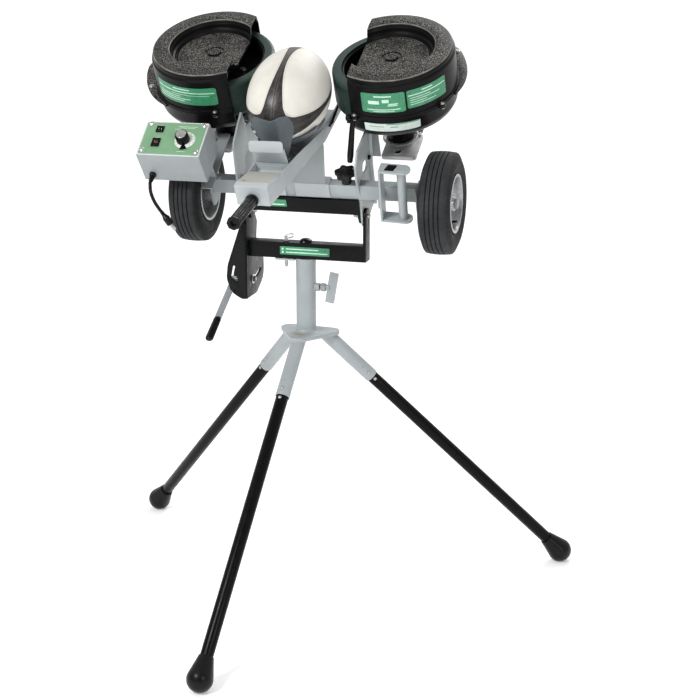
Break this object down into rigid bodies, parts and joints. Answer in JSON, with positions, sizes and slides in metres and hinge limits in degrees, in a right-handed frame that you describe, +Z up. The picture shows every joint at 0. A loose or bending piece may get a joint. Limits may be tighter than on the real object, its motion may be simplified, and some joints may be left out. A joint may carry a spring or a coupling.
{
  "type": "rugby ball machine",
  "caption": "Rugby ball machine: guarded throwing wheels, ball tray, control box and transport wheels on a tilting head, carried by a swivelling yoke on a tripod.",
  "frame": {"origin": "on the floor, in the middle of the footprint", "axes": "+Y is the launch direction, away from the operator; +X is the operator's right; +Z is up"},
  "size_m": [1.2013, 1.0883, 1.3915],
  "materials": {
    "grey_paint": "satin powder coat",
    "cover_paint": "satin",
    "panel_paint": "satin",
    "black_paint": "satin powder coat",
    "steel": "brushed",
    "rim_metal": "satin",
    "gearbox_metal": "cast",
    "motor_paint": "satin",
    "hub_metal": "cast",
    "throwing_rubber": "matt",
    "tyre_rubber": "matt",
    "black_rubber": "matt",
    "trough_plastic": "moulded",
    "black_plastic": "moulded",
    "ball_skin": "pimpled"
  },
  "bodies": {
    "tripod": {"tripod_hub": "grey_paint", "post": "grey_paint", "leg_front": "black_paint", "leg_left": "black_paint", "leg_right": "black_paint", "foot_front": "black_rubber", "foot_left": "black_rubber", "foot_right": "black_rubber"},
    "snap_button_front": {"snap_button_front": "steel"},
    "snap_button_left": {"snap_button_left": "steel"},
    "snap_button_right": {"snap_button_right": "steel"},
    "clamp_screw": {"clamp_screw": "grey_paint"},
    "yoke": {"yoke_frame": "black_paint", "swivel_spindle": "steel", "tilt_quadrant": "black_paint", "pivot_pin_left": "steel"},
    "swivel_pin": {"swivel_pin": "steel", "swivel_pin_ring": "steel"},
    "pivot_pin": {"pivot_pin_right": "steel"},
    "head": {"crossbar": "black_paint", "axle_tube": "grey_paint", "tray_pedestal": "grey_paint", "ball_tray": "grey_paint", "tray_cover": "cover_paint", "backstop_plate": "grey_paint", "ball_trough": "trough_plastic", "aim_grip": "black_rubber", "side_plate_left": "grey_paint", "side_plate_right": "grey_paint", "axle_end_left": "grey_paint", "axle_end_right": "grey_paint", "carry_handle": "grey_paint", "guard_left": "black_paint", "guard_right": "black_paint", "guard_bowl_left": "black_paint", "guard_bowl_right": "black_paint", "gearbox_left": "gearbox_metal", "gearbox_right": "gearbox_metal", "motor_left": "motor_paint", "motor_right": "motor_paint", "control_box": "grey_paint", "control_panel": "panel_paint", "cord_gland": "black_rubber", "power_cord": "black_rubber", "power_plug": "black_rubber"},
    "throwing_wheel_left": {"throwing_tyre_left": "throwing_rubber", "throwing_hub_left": "hub_metal"},
    "throwing_wheel_right": {"throwing_tyre_right": "throwing_rubber", "throwing_hub_right": "hub_metal"},
    "transport_wheel_left": {"transport_tyre_left": "tyre_rubber", "transport_rim_left": "rim_metal"},
    "transport_wheel_right": {"transport_tyre_right": "tyre_rubber", "transport_rim_right": "rim_metal"},
    "speed_knob": {"speed_knob": "black_plastic"},
    "power_rocker": {"power_rocker": "black_plastic"},
    "start_rocker": {"start_rocker": "black_plastic"},
    "star_knob": {"star_knob": "black_plastic"},
    "release_lever": {"release_lever": "black_plastic"},
    "tilt_lock": {"tilt_lock_lever": "steel"},
    "ball": {"rugby_ball": "ball_skin"}
  },
  "joints": [
    {"name": "snap_button_front_press", "type": "slide", "parent": "tripod", "child": "snap_button_front", "axis": [0.0492, 0.7042, -0.7083], "range_m": [0, 0.003], "stiffness_N_per_m": 900, "springref_m": -0.002},
    {"name": "snap_button_left_press", "type": "slide", "parent": "tripod", "child": "snap_button_left", "axis": [0.6081, 0.7915, -0.0617], "range_m": [0, 0.003], "stiffness_N_per_m": 900, "springref_m": -0.002},
    {"name": "snap_button_right_press", "type": "slide", "parent": "tripod", "child": "snap_button_right", "axis": [-0.492, 0.8684, -0.0617], "range_m": [0, 0.003], "stiffness_N_per_m": 900, "springref_m": -0.002},
    {"name": "clamp_screw_turn", "type": "hinge", "parent": "tripod", "child": "clamp_screw", "pos_m": [0.00695, 0.14488, 0.76], "axis": [1, 0, 0], "range_deg": [-360, 0]},
    {"name": "yoke_swivel", "type": "hinge", "parent": "tripod", "child": "yoke", "pos_m": [-0.02305, 0.14488, 0.83], "axis": [0, 0, 1], "range_deg": [-15, 15]},
    {"name": "swivel_pin_lift", "type": "slide", "parent": "yoke", "child": "swivel_pin", "axis": [0, 0, 1], "range_m": [0, 0.058]},
    {"name": "pivot_pin_pull", "type": "slide", "parent": "yoke", "child": "pivot_pin", "axis": [-1, 0, 0], "range_m": [0, 0.03]},
    {"name": "head_tilt", "type": "hinge", "parent": "yoke", "child": "head", "pos_m": [-0.02305, 0.14488, 0.94], "axis": [1, 0, 0], "range_deg": [-2, 18]},
    {"name": "tilt_lock_turn", "type": "hinge", "parent": "head", "child": "tilt_lock", "pos_m": [-0.20305, 0.15635, 0.76738], "axis": [1, 0, 0], "range_deg": [0, 60]},
    {"name": "throwing_wheel_right_spin", "type": "hinge", "parent": "head", "child": "throwing_wheel_right", "pos_m": [0.17325, 0.18468, 1.32858], "axis": [0, -0.4462, 0.8949], "continuous": true},
    {"name": "transport_wheel_right_spin", "type": "hinge", "parent": "head", "child": "transport_wheel_right", "pos_m": [0.31495, 0.12302, 0.98385], "axis": [1, 0, 0], "continuous": true},
    {"name": "throwing_wheel_left_spin", "type": "hinge", "parent": "head", "child": "throwing_wheel_left", "pos_m": [-0.26335, 0.18468, 1.32858], "axis": [0, -0.4462, 0.8949], "continuous": true},
    {"name": "transport_wheel_left_spin", "type": "hinge", "parent": "head", "child": "transport_wheel_left", "pos_m": [-0.28755, 0.12302, 0.98385], "axis": [1, 0, 0], "continuous": true},
    {"name": "speed_knob_turn", "type": "hinge", "parent": "head", "child": "speed_knob", "pos_m": [-0.25505, -0.04801, 1.13101], "axis": [0, -0.6428, 0.766], "range_deg": [-270, 0]},
    {"name": "power_rocker_press", "type": "hinge", "parent": "head", "child": "power_rocker", "pos_m": [-0.32105, -0.02152, 1.14736], "axis": [0, 0.766, 0.6428], "range_deg": [-20, 0]},
    {"name": "start_rocker_press", "type": "hinge", "parent": "head", "child": "start_rocker", "pos_m": [-0.32055, -0.05331, 1.12069], "axis": [0, 0.766, 0.6428], "range_deg": [-20, 0]},
    {"name": "star_knob_turn", "type": "hinge", "parent": "head", "child": "star_knob", "pos_m": [0.09115, 0.10249, 1.02502], "axis": [0, -0.4462, 0.8949], "range_deg": [-360, 0]},
    {"name": "release_lever_swing", "type": "hinge", "parent": "head", "child": "release_lever", "pos_m": [0.09295, 0.10915, 1.17528], "axis": [1, 0, 0], "range_deg": [0, 35]},
    {"name": "ball_feed", "type": "slide", "parent": "head", "child": "ball", "axis": [0, 0.8949, 0.4462], "range_m": [0, 0.01]}
  ]
}
